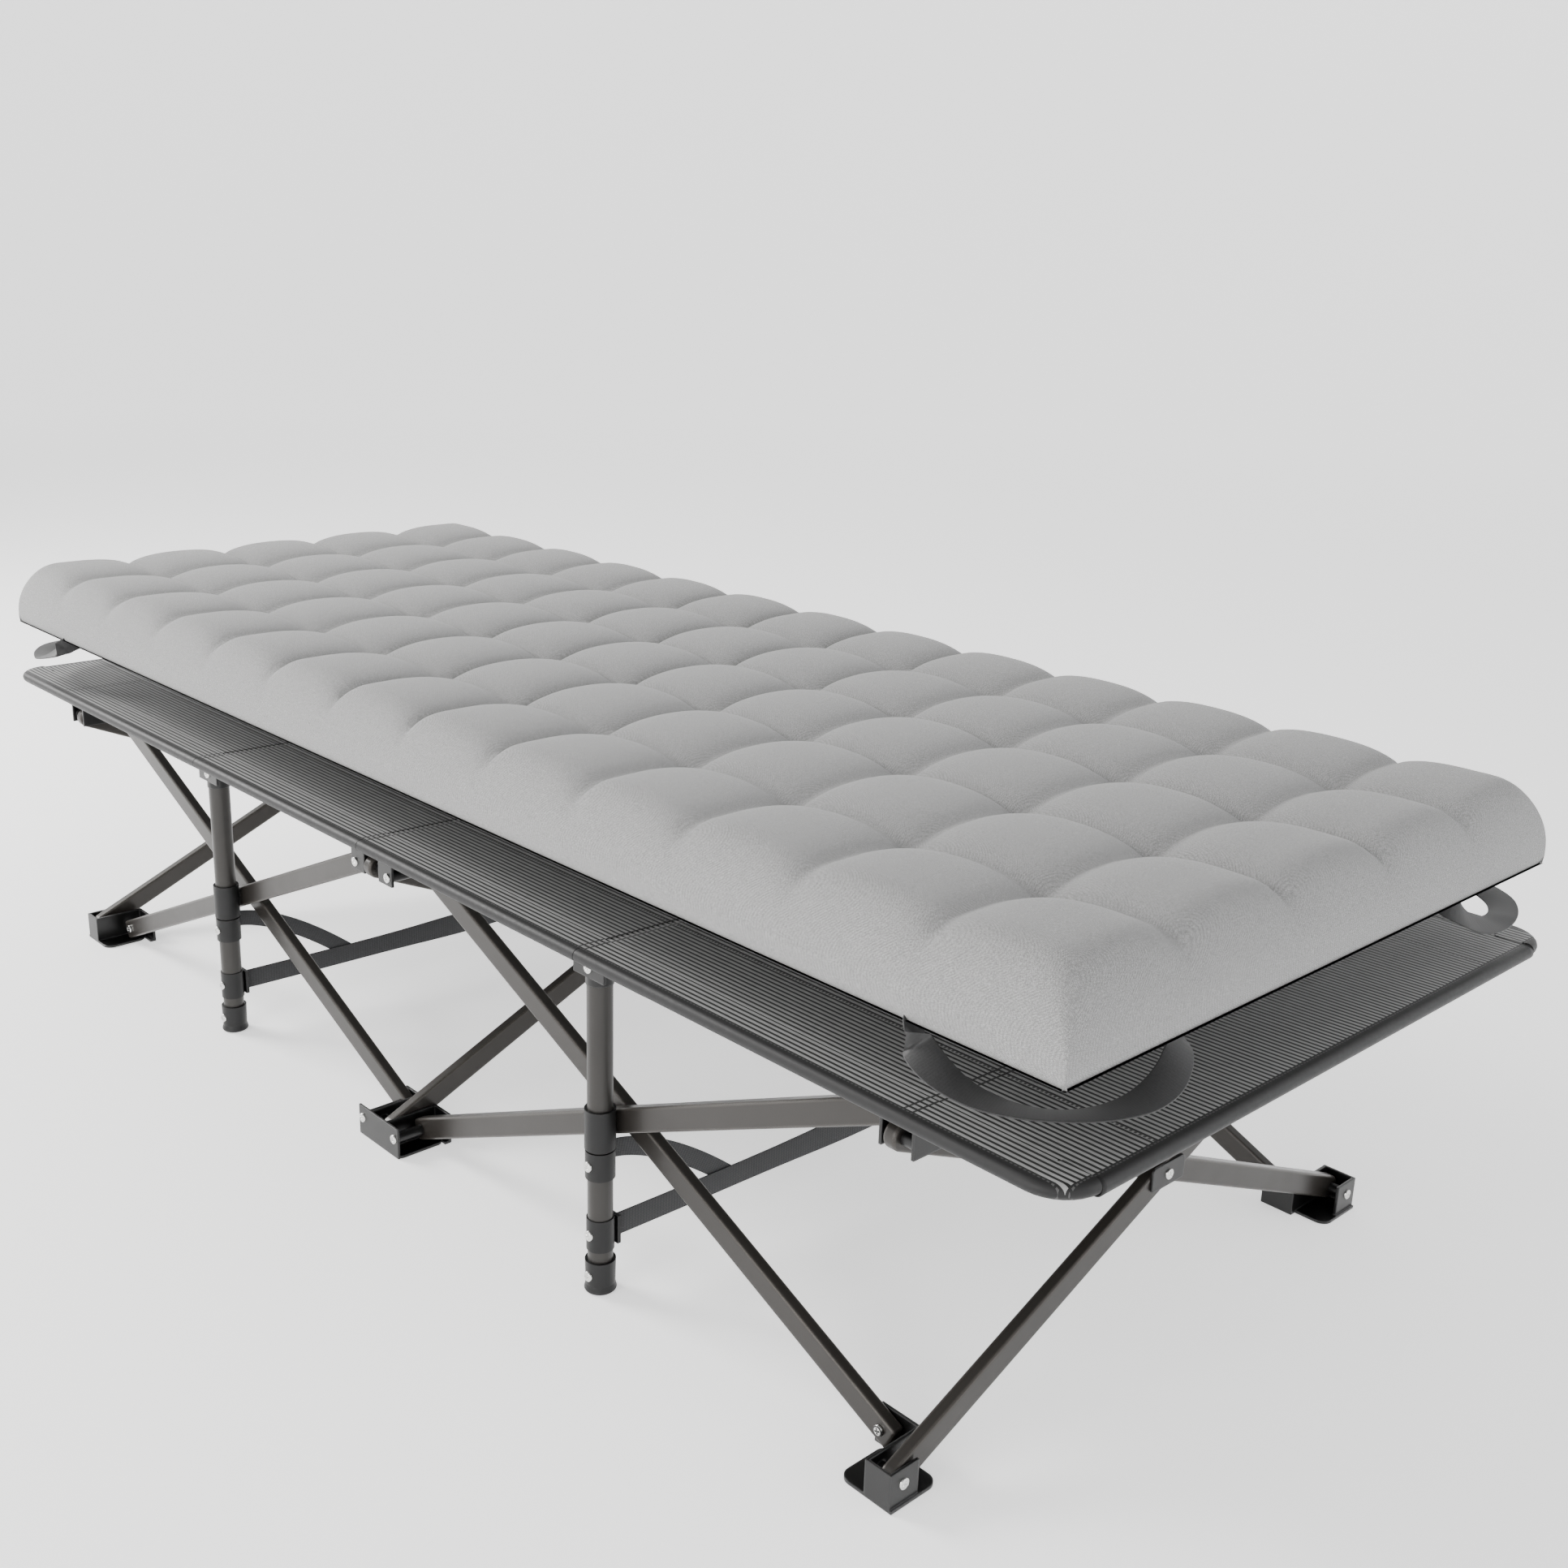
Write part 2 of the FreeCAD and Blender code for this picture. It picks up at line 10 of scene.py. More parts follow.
# %% Load
import bpy
import bmesh
import json
import math
import numpy as np
from mathutils import Matrix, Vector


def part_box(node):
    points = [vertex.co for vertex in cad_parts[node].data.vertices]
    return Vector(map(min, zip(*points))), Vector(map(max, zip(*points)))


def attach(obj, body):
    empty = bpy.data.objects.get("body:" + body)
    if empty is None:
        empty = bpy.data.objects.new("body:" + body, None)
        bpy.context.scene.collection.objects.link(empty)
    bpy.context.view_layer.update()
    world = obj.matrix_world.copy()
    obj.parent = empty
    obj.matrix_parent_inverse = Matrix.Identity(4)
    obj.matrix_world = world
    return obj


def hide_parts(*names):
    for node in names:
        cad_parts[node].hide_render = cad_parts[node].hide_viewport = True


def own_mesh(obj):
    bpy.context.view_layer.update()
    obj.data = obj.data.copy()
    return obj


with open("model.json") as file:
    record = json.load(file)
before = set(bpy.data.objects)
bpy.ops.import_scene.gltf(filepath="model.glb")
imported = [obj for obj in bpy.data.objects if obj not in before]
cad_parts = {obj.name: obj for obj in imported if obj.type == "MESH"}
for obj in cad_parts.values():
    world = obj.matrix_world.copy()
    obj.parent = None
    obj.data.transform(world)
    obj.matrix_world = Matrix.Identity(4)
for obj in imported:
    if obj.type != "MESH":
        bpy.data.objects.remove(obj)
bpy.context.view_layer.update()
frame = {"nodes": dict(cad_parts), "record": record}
nodes = frame["nodes"]

# %% [markdown]
# ## Measures taken from the frame
# A piece fits when its size comes from the part it sits on, so the rails, legs and brackets are
# measured first. Mirror pairs are written once: `side` is -1 for the right and 1 for the left,
# `end` is -1 for the back and 1 for the front.

# %% Measures
SIDES = {"right": -1, "left": 1}
ENDS = {"back": -1, "front": 1}
rail_low, rail_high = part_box("long_rail_front_right")
RAIL_Y = -(rail_low.y + rail_high.y) / 2
RAIL_Z = (rail_low.z + rail_high.z) / 2
leg_low, leg_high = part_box("leg_tube_front_right")
LEG_X = (leg_low.x + leg_high.x) / 2
LEG_Y = -(leg_low.y + leg_high.y) / 2
LEG_R = (leg_high.x - leg_low.x) / 2
sling_low, sling_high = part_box("sling_front_end")
SLING_X, SLING_Y, SLING_Z = sling_high.x, sling_high.y, sling_high.z
HEM_LOW = sling_low.z
pad_low, pad_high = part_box("mattress")
print("rail", round(RAIL_Y, 4), round(RAIL_Z, 4), "leg", round(LEG_X, 4), round(LEG_Y, 4))

# %% [markdown]
# ## Camera
# The camera stands off the front right corner, a metre above the floor. It is built from where it
# stands and three turns: round the bed, down towards it, and a slight roll. So near to the bed, the
# front corner looms large.

# %% Camera
CAMERA_SPOT = np.array([1.5804, -1.2626, 0.9929])
CAMERA_TURN, CAMERA_DIP, CAMERA_ROLL = (math.radians(a) for a in (46.296, 17.368, 1.782))
CAMERA_LENS = 40.3


def camera_axes(turn, dip, roll):
    """Right, up and back axes: forward is turned about +Z and dipped, then right and up are rolled."""
    ahead = np.array([-math.sin(turn) * math.cos(dip), math.cos(turn) * math.cos(dip), -math.sin(dip)])
    right = np.array([math.cos(turn), math.sin(turn), 0.0])
    up = np.cross(right, ahead)
    rolled_right = math.cos(roll) * right + math.sin(roll) * up
    rolled_up = math.cos(roll) * up - math.sin(roll) * right
    return rolled_right, rolled_up, -ahead


camera = bpy.data.objects.new("camera", bpy.data.cameras.new("camera"))
bpy.context.scene.collection.objects.link(camera)
pose = np.eye(4)
pose[:3, 0], pose[:3, 1], pose[:3, 2] = camera_axes(CAMERA_TURN, CAMERA_DIP, CAMERA_ROLL)
pose[:3, 3] = CAMERA_SPOT
camera.matrix_world = Matrix(pose.tolist())
camera.data.lens = CAMERA_LENS
camera.data.clip_start = 0.05
bpy.context.scene.camera = camera
print("camera at", CAMERA_SPOT.round(2), "lens", CAMERA_LENS)

# %% [markdown]
# ## Floor and light
# A studio sweep: a pale floor that curves up into a wall all round and glows a little, a bright even
# world, a soft key from beyond the back end and two fills that draw thin light lines along the tubes.

# %% Floor and light
FLOOR_FLAT, WALL_BEND, WALL_TOP = 8.0, 4.0, 7.0   # radius of the flat, of the curve, and the top
FLOOR_DROP = 0.0005      # keeps the paper just under the feet
FLOOR_SPOKES = 96
PAPER_GLOW = 0.8
WORLD_GLOW = 0.7


def glowing_paper(name, color, rough):
    """A matt colour that also gives off a little white light, so that shadows on it stay pale."""
    material = bpy.data.materials.new(name)
    material.use_nodes = True
    shader = material.node_tree.nodes["Principled BSDF"]
    shader.inputs["Base Color"].default_value = (*color, 1)
    shader.inputs["Roughness"].default_value = rough
    shader.inputs["Emission Color"].default_value = (1, 1, 1, 1)
    shader.inputs["Emission Strength"].default_value = PAPER_GLOW
    return material


def backdrop(name):
    """A profile turned about +Z: a flat disc, a quarter circle, then a straight wall."""
    bend = np.linspace(0, math.pi / 2, 13)
    radius = np.r_[0.01, 2, 5, FLOOR_FLAT + WALL_BEND * np.sin(bend), FLOOR_FLAT + WALL_BEND]
    height = np.r_[0, 0, 0, WALL_BEND * (1 - np.cos(bend)), WALL_TOP] - FLOOR_DROP
    turn = np.linspace(0, 2 * math.pi, FLOOR_SPOKES, endpoint=False)
    points = np.stack([radius[:, None] * np.cos(turn), radius[:, None] * np.sin(turn),
                       np.broadcast_to(height[:, None], (len(radius), FLOOR_SPOKES))], -1)
    index = np.arange(points[..., 0].size).reshape(points.shape[:2])
    after = np.roll(index, -1, 1)
    quads = np.stack([index[:-1], index[1:], after[1:], after[:-1]], -1).reshape(-1, 4)
    mesh = bpy.data.meshes.new(name)
    mesh.from_pydata(points.reshape(-1, 3).tolist(), [], quads.tolist() + [index[0].tolist()])
    mesh.polygons.foreach_set("use_smooth", np.ones(len(mesh.polygons), bool))
    mesh.materials.append(glowing_paper("floor_paper", (0.86, 0.86, 0.86), 0.95))
    piece = bpy.data.objects.new(name, mesh)
    bpy.context.scene.collection.objects.link(piece)


backdrop("floor")

world = bpy.data.worlds.new("studio")
world.use_nodes = True
world.node_tree.nodes["Background"].inputs["Color"].default_value = (1, 1, 1, 1)
world.node_tree.nodes["Background"].inputs["Strength"].default_value = WORLD_GLOW
bpy.context.scene.world = world


def area_light(name, spot, target, size, power, color):
    """A square lamp at a spot, turned so that its back axis points away from the target."""
    lamp = bpy.data.lights.new(name, "AREA")
    lamp.size = size
    lamp.energy = power
    lamp.color = color
    holder = bpy.data.objects.new(name, lamp)
    bpy.context.scene.collection.objects.link(holder)
    away = np.array(spot, float) - np.array(target, float)
    back = away / np.linalg.norm(away)
    right = np.cross([0, 0, 1], back)
    right /= np.linalg.norm(right)
    turn = np.eye(4)
    turn[:3, 0], turn[:3, 1], turn[:3, 2], turn[:3, 3] = right, np.cross(back, right), back, spot
    holder.matrix_world = Matrix(turn.tolist())


area_light("key", (-3.2, -1.6, 2.3), (0, 0, 0.4), 1.5, 210, (1.0, 0.99, 0.975))
area_light("side", (0.6, -3.4, 1.3), (0.2, -0.2, 0.25), 1.6, 60, (1.0, 0.985, 0.96))
area_light("front", (3.4, 1.4, 1.5), (0.5, 0, 0.3), 1.6, 22, (0.96, 0.98, 1.0))
print("lights ready")

# %% [markdown]
# ## Two ways to make a surface
# Nearly every new piece is a grid of points worked out with numpy. `sheet_mesh` joins a grid as quads,
# open or as a capped tube; `sweep` carries a flat outline along a path, which makes straps and
# loops. Both keep a UV map in metres, so a weave keeps its real size.


# %% Grid to mesh
def grid_quads(rows, cols, around):
    """Corner numbers of the quads of a grid; around joins the last column to the first."""
    index = np.arange(rows * cols).reshape(rows, cols)
    here, down = index[:-1], index[1:]
    if around:
        quads = np.stack([here, np.roll(here, -1, 1), np.roll(down, -1, 1), down], -1)
    else:
        quads = np.stack([here[:, :-1], here[:, 1:], down[:, 1:], down[:, :-1]], -1)
    return quads.reshape(-1, 4)


def sheet_mesh(name, points, tube=False):
    """Quads between neighbours of a (rows, columns, 3) grid; UVs are arc lengths along both ways.

    A tube is joined round its columns and gets a cap on its first and its last row.
    """
    rows, cols = points.shape[:2]
    faces = grid_quads(rows, cols, tube).tolist()
    if tube:
        faces += [list(range(cols - 1, -1, -1)), list(range((rows - 1) * cols, rows * cols))]
    mesh = bpy.data.meshes.new(name)
    mesh.from_pydata(points.reshape(-1, 3).tolist(), [], faces)
    along = np.r_[0, np.cumsum(np.linalg.norm(np.diff(points[:, 0], axis=0), axis=1))]
    across = np.r_[0, np.cumsum(np.linalg.norm(np.diff(points[0], axis=0), axis=1))]
    flat = np.stack(np.meshgrid(along, across, indexing="ij"), -1).reshape(-1, 2)
    corner = np.zeros(len(mesh.loops), np.int32)
    mesh.loops.foreach_get("vertex_index", corner)
    mesh.uv_layers.new(name="UVMap").data.foreach_set("uv", flat[corner].ravel().astype(np.float32))
    mesh.polygons.foreach_set("use_smooth", np.ones(len(mesh.polygons), bool))
    mesh.update()
    piece = bpy.data.objects.new(name, mesh)
    bpy.context.scene.collection.objects.link(piece)
    return piece


def sweep(name, path, side, outline):
    """A closed outline of (a, b) pairs carried along a path: point = path + a side + b (along x side).

    The outline is one for the whole path or one for each of its points.
    """
    path, side = np.asarray(path, float), np.asarray(side, float)
    side = np.broadcast_to(side, path.shape)
    along = np.gradient(path, axis=0)
    along /= np.linalg.norm(along, axis=1, keepdims=True)
    side = side - (side * along).sum(1, keepdims=True) * along
    side /= np.linalg.norm(side, axis=1, keepdims=True)
    other = np.cross(along, side)
    outline = np.asarray(outline, float)
    if outline.ndim == 2:
        outline = np.broadcast_to(outline, (len(path),) + outline.shape)
    points = path[:, None] + outline[..., :1] * side[:, None] + outline[..., 1:] * other[:, None]
    return sheet_mesh(name, points, tube=True)


def outward(piece):
    """Join points that coincide and turn all faces of a closed piece outwards."""
    work = bmesh.new()
    work.from_mesh(piece.data)
    bmesh.ops.remove_doubles(work, verts=work.verts, dist=1e-6)
    bmesh.ops.recalc_face_normals(work, faces=work.faces)
    work.to_mesh(piece.data)
    work.free()
    return piece


def sharpen(piece, degrees=50):
    """Keep shading smooth except across edges steeper than the angle."""
    piece.data.set_sharp_from_angle(angle=math.radians(degrees))
    return piece


def rounded_band(wide, thick, bend=4):
    """Outline of a flat band: two straight sides joined by half circles of half the thickness."""
    turn = np.linspace(-math.pi / 2, math.pi / 2, bend * 2 + 1)
    right = np.stack([wide / 2 - thick / 2 + thick / 2 * np.cos(turn), thick / 2 * np.sin(turn)], 1)
    return np.r_[right, -right]


print("surface tools ready")

# %% [markdown]
# ## Finishes
# Each finish is a small node tree. `Nodes` only shortens the wiring. Colours that never change are
# set straight on the shader; what varies, such as a weave or a highlight painted along edges, is wired in.


# %% Wiring helper
class Nodes:
    """A material's node tree with one-line adding and linking."""

    def __init__(self, name, **constants):
        self.material = bpy.data.materials.new(name)
        self.material.use_nodes = True
        self.tree = self.material.node_tree
        self.shader = self.tree.nodes["Principled BSDF"]
        for key, value in constants.items():
            self.shader.inputs[key.replace("_", " ")].default_value = value

    def add(self, kind, inputs=None, **settings):
        """A new node; each input is either another node's output, which is linked, or a value."""
        node = self.tree.nodes.new("ShaderNode" + kind)
        for key, value in settings.items():
            setattr(node, key, value)
        for key, value in (inputs or {}).items():
            if isinstance(value, bpy.types.NodeSocket):
                self.tree.links.new(value, node.inputs[key])
            else:
                node.inputs[key].default_value = value
        return node

    def math(self, operation, *values, clamp=False):
        inputs = dict(enumerate(values))
        return self.add("Math", inputs, operation=operation, use_clamp=clamp).outputs[0]

    def place(self, kind="Object"):
        return self.add("TexCoord").outputs[kind]

    def ramp(self, factor, stops):
        """A colour ramp from (position, colour) pairs."""
        node = self.add("ValToRGB", {"Fac": factor})
        elements = node.color_ramp.elements
        while len(elements) < len(stops):
            elements.new(0.5)
        for element, (spot, color) in zip(elements, stops):
            element.position = spot
            element.color = (*color, 1)
        return node.outputs["Color"]

    def noise(self, vector, scale, detail=3.0, rough=0.55):
        inputs = {"Vector": vector, "Scale": scale, "Detail": detail, "Roughness": rough}
        return self.add("TexNoise", inputs).outputs["Fac"]

    def mix(self, factor, first, second):
        inputs = {0: factor, 6: first, 7: second}
        return self.add("Mix", inputs, data_type="RGBA").outputs[2]

    def bump(self, height, strength, distance, normal=None):
        """A normal tilted by the slope of a height."""
        inputs = {"Height": height, "Strength": strength, "Distance": distance}
        if normal is not None:
            inputs["Normal"] = normal
        return self.add("Bump", inputs).outputs["Normal"]

    def link(self, socket, output):
        self.tree.links.new(output, self.shader.inputs[socket])

    def xyz(self, vector):
        return tuple(self.add("SeparateXYZ", {0: vector}).outputs)


print("wiring ready")

# %% [markdown]
# ### Enamelled steel
# The arms and legs are tubes with a satin grey-brown enamel, with a painted highlight that makes it
# lighter on the edges. The painted highlight comes from a Bevel node: where the bevelled normal leaves
# the true one there is an edge.


# %% Enamelled steel
def enamel(name, color, edge_highlight_color, rough, metal, coat):
    """Painted edge highlight is 3.2 (1 - bevelled normal . true normal), times a patchy noise from 0.35 to
    1.05.
    """
    n = Nodes(name, Metallic=metal, Coat_Weight=coat, Coat_Roughness=0.2, Specular_IOR_Level=0.35)
    spot = n.place()
    soft = n.add("Bevel", {"Radius": 0.0025}, samples=4).outputs[0]
    true = n.add("NewGeometry").outputs["Normal"]
    same = n.add("VectorMath", {0: soft, 1: true}, operation="DOT_PRODUCT").outputs["Value"]
    edge = n.math("MULTIPLY", n.math("SUBTRACT", 1.0, same), 3.2, clamp=True)
    patch = n.noise(spot, 14.0, 4.0)
    # Painted highlight: the edges are mixed towards a lighter colour that stands in for light catching them,
    # made patchy by the noise.
    painted_edge_highlight = n.math("MULTIPLY", edge, n.math("ADD", n.math("MULTIPLY", patch, 0.7), 0.35), clamp=True)
    base = n.mix(patch, (*[c * 0.86 for c in color], 1), (*[c * 1.14 for c in color], 1))
    n.link("Base Color", n.mix(painted_edge_highlight, base, (*edge_highlight_color, 1)))
    grain = n.noise(spot, 900.0, 2.0)
    smear = n.noise(spot, 35.0, 3.0)
    n.link("Roughness", n.math("ADD", n.math("MULTIPLY", smear, 0.14), rough - 0.07))
    n.link("Normal", n.bump(grain, 0.12, 0.0004, soft))
    return n.material


arm_enamel = enamel("arm_enamel", (0.026, 0.0232, 0.0208), (0.34, 0.31, 0.28), 0.34, 0.35, 0.15)
leg_enamel = enamel("leg_enamel", (0.030, 0.028, 0.026), (0.16, 0.15, 0.14), 0.40, 0.35, 0.15)
rail_enamel = enamel("rail_steel", (0.030, 0.030, 0.030), (0.10, 0.10, 0.10), 0.42, 0.5, 0.1)
bracket_enamel = enamel("black_enamel", (0.0022, 0.0022, 0.0023), (0.06, 0.06, 0.06), 0.34, 0.0, 0.12)
print("enamels ready")

# %% [markdown]
# ### Moulded plastic and screw steel
# The sliders and leg caps are black plastic with the fine spark grain of a mould. The screws are
# bright zinc with fine turning marks.


# %% Plastic and screws
def moulded(name, color, rough):
    """Plastic whose colour and gloss drift a little, under a fine grain."""
    n = Nodes(name, Specular_IOR_Level=0.35)
    spot = n.place()
    grain = n.noise(spot, 1400.0, 2.0)
    cloud = n.noise(spot, 22.0, 3.0)
    n.link("Base Color", n.mix(cloud, (*[c * 0.8 for c in color], 1), (*[c * 1.3 for c in color], 1)))
    n.link("Roughness", n.math("ADD", n.math("MULTIPLY", cloud, 0.16), rough - 0.08))
    n.link("Normal", n.bump(grain, 0.25, 0.0003))
    return n.material


def bright_steel(name):
    """Bare metal with fine light and dark marks."""
    n = Nodes(name, Metallic=1.0)
    spot = n.place()
    marks = n.noise(spot, 2600.0, 2.0)
    n.link("Base Color", n.ramp(marks, [(0.3, (0.52, 0.52, 0.51)), (0.7, (0.82, 0.82, 0.80))]))
    n.link("Roughness", n.math("ADD", n.math("MULTIPLY", marks, 0.15), 0.16))
    return n.material


black_plastic = moulded("black_plastic", (0.0035, 0.0035, 0.0038), 0.44)
screw_steel = bright_steel("screw_steel")
print("plastic and steel ready")

# %% [markdown]
# ### Striped sling cloth
# The sling is a coated mesh woven with flat grey bands on black, running along the bed. Bands come
# from a wave of Y; a plain dark hem follows the edges, and stitched lines cross where the seams are.

# %% Sling cloth
BAND_PITCH = 0.0061
BAND_SHARE = 0.60        # of the pitch that is the light band
BORDER = 0.0115          # plain hem, from the outer edge
STITCH_IN = 0.0022       # the stitched line lies this far outside the border's inner edge
STITCH_PITCH = 0.0042
RIB_PITCH = 0.0016       # cross ribs of the weave
STRIPES_DOWN = 0.0060    # stripes end this far below the sling's top, where the sleeve turns under
FOLD_SEAMS = (-0.79, -LEG_X, 0.0, LEG_X, 0.79)
LONG_SEAM = SLING_Y - 0.118


def near(n, value, centre, half):
    """1 where the value is within half of the centre, else 0."""
    return n.math("LESS_THAN", n.math("ABSOLUTE", n.math("SUBTRACT", value, centre)), half)


def wave(n, value, pitch):
    """sin(2 pi value / pitch)."""
    return n.math("SINE", n.math("MULTIPLY", value, 2 * math.pi / pitch))


def sling_cloth():
    """Light where sin(2 pi y / pitch) is above cos(pi share), inside the border and off the seams."""
    n = Nodes("sling_stripe", Sheen_Weight=0.04, Specular_IOR_Level=0.3)
    spot = n.place()
    x, y, z = n.xyz(spot)
    far_x, far_y = n.math("ABSOLUTE", x), n.math("ABSOLUTE", y)
    raised = n.math("SUBTRACT", wave(n, y, BAND_PITCH), math.cos(math.pi * BAND_SHARE))
    band = n.math("MULTIPLY", raised, 3.5, clamp=True)
    inside = n.math("MULTIPLY", n.math("LESS_THAN", far_y, SLING_Y - BORDER),
                    n.math("LESS_THAN", far_x, SLING_X - BORDER))
    inside = n.math("MULTIPLY", inside, n.math("GREATER_THAN", z, SLING_Z - STRIPES_DOWN))
    seams = [near(n, x, centre + shift, 0.0011) for centre in FOLD_SEAMS for shift in (-0.0045, 0.0045)]
    seam = seams[0]
    for line in seams[1:]:
        seam = n.math("MAXIMUM", seam, line)
    dashes = n.math("GREATER_THAN", wave(n, x, STITCH_PITCH), -0.2)
    cross_dashes = n.math("GREATER_THAN", wave(n, y, STITCH_PITCH), -0.2)
    long_line = n.math("MULTIPLY", near(n, far_y, LONG_SEAM, 0.0016), dashes)
    seam = n.math("MULTIPLY", seam, inside)
    long_line = n.math("MULTIPLY", long_line, inside)
    stitch = n.math("MAXIMUM",
                    n.math("MULTIPLY", near(n, far_y, SLING_Y - BORDER + STITCH_IN, 0.0007), dashes),
                    n.math("MULTIPLY", near(n, far_x, SLING_X - BORDER + STITCH_IN, 0.0007), cross_dashes))
    light = n.mix(n.noise(spot, 90.0, 5.0), (0.21, 0.211, 0.210, 1), (0.31, 0.312, 0.31, 1))
    striped = n.mix(band, (0.0035, 0.0035, 0.0035, 1), light)
    color = n.mix(inside, (0.0095, 0.0095, 0.0098, 1), striped)
    color = n.mix(n.math("MULTIPLY", seam, 0.92), color, (0.002, 0.002, 0.002, 1))
    color = n.mix(n.math("MULTIPLY", long_line, 0.85), color, (0.003, 0.003, 0.003, 1))
    color = n.mix(n.math("MULTIPLY", stitch, 0.6), color, (0.10, 0.10, 0.10, 1))
    n.link("Base Color", color)
    n.link("Roughness", n.math("ADD", n.math("MULTIPLY", n.noise(spot, 200.0), 0.2), 0.42))
    ribs = wave(n, x, RIB_PITCH)
    height = n.math("MULTIPLY", inside, n.math("ADD", band, n.math("MULTIPLY", ribs, 0.15)))
    height = n.math("SUBTRACT", height, n.math("MULTIPLY", n.math("MAXIMUM", seam, stitch), 1.1))
    n.link("Normal", n.bump(height, 0.5, 0.0006))
    return n.material


sling_stripe = sling_cloth()
print("sling cloth bands", round(2 * SLING_Y / BAND_PITCH), "across")

# %% [markdown]
# ### Mattress cloth and webbing
# The mattress cover is a brushed grey weave of crossed light and dark yarns. The cover has no UV
# map, so three sine waves along the axes make a weave that reads on every face.


# %% Mattress cloth and webbing
def weave_height(n, vector, pitch):
    """Crossed yarns: sin x sin y + sin y sin z + sin z sin x, scaled so one yarn pair is the pitch."""
    waves = [wave(n, part, pitch) for part in n.xyz(vector)]
    products = [n.math("MULTIPLY", waves[a], waves[b]) for a, b in ((0, 1), (1, 2), (2, 0))]
    return n.math("ADD", n.math("ADD", products[0], products[1]), products[2])


def mattress_weave():
    """Heathered yarns: a faint weave under a strong fine noise, light and dark threads mixed."""
    n = Nodes("mattress_cloth", Sheen_Weight=0.15, Sheen_Roughness=0.5, Specular_IOR_Level=0.15)
    spot = n.place()
    turned = n.add("Mapping", {"Vector": spot, "Rotation": (0, 0, math.radians(27))}).outputs[0]
    weave = weave_height(n, turned, 0.0015)
    fuzz = n.noise(spot, 1000.0, 2.0, 0.7)
    cloud = n.noise(spot, 4.0, 2.0)
    tone = n.math("ADD", n.math("MULTIPLY", weave, 0.075), fuzz)
    color = n.ramp(tone, [(0.30, (0.150, 0.150, 0.150)), (0.50, (0.235, 0.235, 0.234)),
                          (0.70, (0.37, 0.37, 0.368))])
    n.link("Base Color", n.mix(n.math("MULTIPLY", cloud, 0.12), color, (0.20, 0.20, 0.20, 1)))
    n.link("Roughness", n.math("ADD", n.math("MULTIPLY", fuzz, 0.12), 0.82))
    height = n.math("ADD", n.math("MULTIPLY", weave, 0.35), fuzz)
    n.link("Normal", n.bump(height, 0.22, 0.0005))
    return n.material


def webbing(name, color, pitch, rough, relief):
    """Warp and weft waves along the strap's own UVs, half of each, with a fine fuzz over them."""
    n = Nodes(name, Sheen_Weight=0.08, Specular_IOR_Level=0.3)
    u, v, _ = n.xyz(n.place("UV"))
    warp = wave(n, v, pitch)
    weft = wave(n, u, 2 * pitch)
    weave = n.math("MULTIPLY", n.math("ADD", warp, weft), 0.5)
    fuzz = n.noise(n.place(), 700.0, 3.0)
    tone = n.math("ADD", n.math("MULTIPLY", weave, 0.12), fuzz)
    dark, light = [c * 0.7 for c in color], [c * 1.35 for c in color]
    n.link("Base Color", n.ramp(tone, [(0.2, dark), (0.8, light)]))
    n.link("Roughness", n.math("ADD", n.math("MULTIPLY", fuzz, 0.15), rough))
    n.link("Normal", n.bump(weave, relief, 0.0004))
    return n.material


mattress_cloth = mattress_weave()
strap_webbing = webbing("strap_webbing", (0.022, 0.0225, 0.024), 0.0018, 0.55, 0.35)
loop_elastic = webbing("loop_elastic", (0.022, 0.022, 0.0225), 0.0011, 0.46, 0.06)
print("cloths ready")

# %% [markdown]
# ## Finishing the frame's own parts
# The steel and plastic parts keep the shape they have; only their finish is set, by the slot that
# each node carries in the record.

# %% Frame finishes
FINISH = {"arm_enamel": arm_enamel, "leg_enamel": leg_enamel, "rail_steel": rail_enamel,
          "black_enamel": bracket_enamel, "black_plastic": black_plastic}
for subpart in frame["record"]["subparts"]:
    finish = FINISH.get(subpart["material_slot"])
    if finish:
        mesh = nodes[subpart["node"]].data
        mesh.materials.clear()
        mesh.materials.append(finish)
done = sum(subpart["material_slot"] in FINISH for subpart in frame["record"]["subparts"])
print("finished", done, "frame parts")

# %% [markdown]
# ## Mattress
# A cover sewn over wadding and quilted in thirteen by five cells. Its top and sides are one grid of
# points: a curve rolls over each side and the height follows the lower of the two, which leaves the
# crisp upright corner of a sewn case. Each cell puffs up between its seams, and the seams lie
# deepest where they cross. Then cloth with a little air in it evens out the tension, held at the
# seams and round the bottom edge.

# %% Mattress shape
PAD_CELLS = (13, 5)
PAD_ROLL = (0.052, 0.070)   # width and height of the roll from the widest place to the top
PAD_FOOT = (0.0030, 0.012)  # how far the bottom edge lies inside the widest place, and how far below
PUFF = 0.017                # rise of a cell above its seams
TUFT = 0.012                # further drop of the seams at their crossings
CROWN = 0.006               # how far the cells stand above the frame's own mattress
PAD_STEP = 0.0066           # spacing of the points


def side_roll(half, count):
    """Positions and heights along one way: a small curve at the bottom, then a long roll to the top.

    The roll is x = wide cos(a)^0.75, z = tall sin(a)^0.9, fuller than an ellipse.
    """
    wide, tall = PAD_ROLL
    inset, below = PAD_FOOT
    turn = np.linspace(0, math.pi / 2, 17)
    foot = np.linspace(0, 1, 4)[:-1]
    out = np.r_[half - inset * (1 - foot) ** 2, half - wide + wide * np.cos(turn) ** 0.75]
    rise = np.r_[below * foot, below + tall * np.sin(turn) ** 0.9]
    flat = np.linspace(-(half - wide), half - wide, count)
    place = np.r_[-out[:-1], flat, out[:-1][::-1]]
    level = np.r_[rise[:-1] / rise[-1], np.ones(count), rise[:-1][::-1] / rise[-1]]
    return place, level


